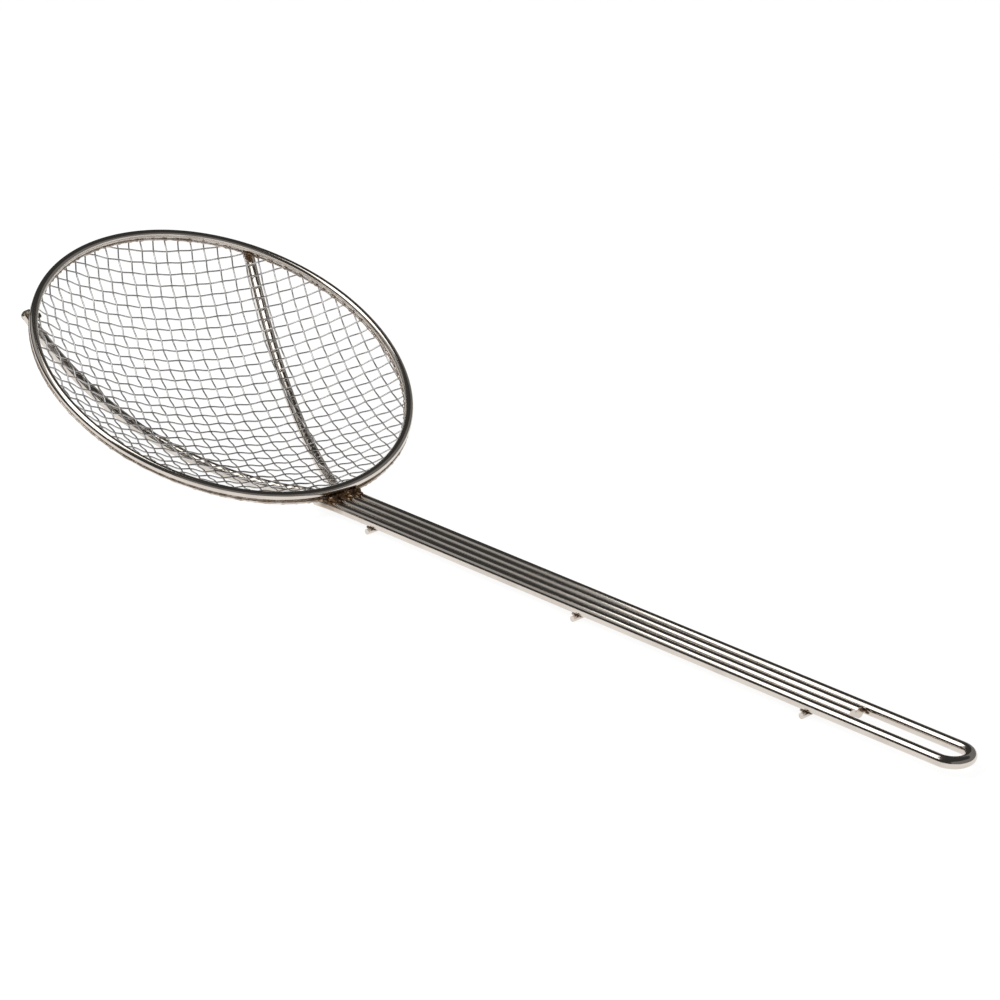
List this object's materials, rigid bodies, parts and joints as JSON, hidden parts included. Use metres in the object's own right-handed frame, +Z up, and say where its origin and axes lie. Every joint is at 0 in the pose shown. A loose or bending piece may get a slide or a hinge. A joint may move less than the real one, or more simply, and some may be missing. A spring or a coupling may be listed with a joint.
{
  "type": "spider skimmer",
  "caption": "Wire skimmer: a hoop with a shallow dish of woven square wire mesh on a long flat handle of parallel round wires that ends in a hanging loop.",
  "frame": {"origin": "bottom centre of the whole object, on the surface that its crossbars rest on", "axes": "+X along the handle towards its hanging loop, +Y across the handle, +Z up out of the dish's mouth"},
  "size_m": [0.5696, 0.2032, 0.1013],
  "materials": {
    "plated_wire": "bright plated steel wire with faint draw lines",
    "mesh_wire": "plated mesh wire, satin",
    "rim_braze": "pale plated braze bead",
    "dark_braze": "heat-darkened braze"
  },
  "bodies": {
    "root": {"rim_hoop": "plated_wire", "mesh_crosswise_wires": "mesh_wire", "mesh_lengthwise_wires": "mesh_wire", "inner_rim_braze": "rim_braze", "outer_rim_braze": "rim_braze", "handle_loop": "plated_wire", "left_support_wire": "plated_wire", "right_support_wire": "plated_wire", "front_crossbar": "plated_wire", "middle_crossbar": "plated_wire", "rear_crossbar": "plated_wire", "front_crossbar_braze": "dark_braze", "middle_crossbar_braze": "dark_braze", "rear_crossbar_braze": "dark_braze", "neck_braze": "dark_braze"}
  },
  "joints": []
}
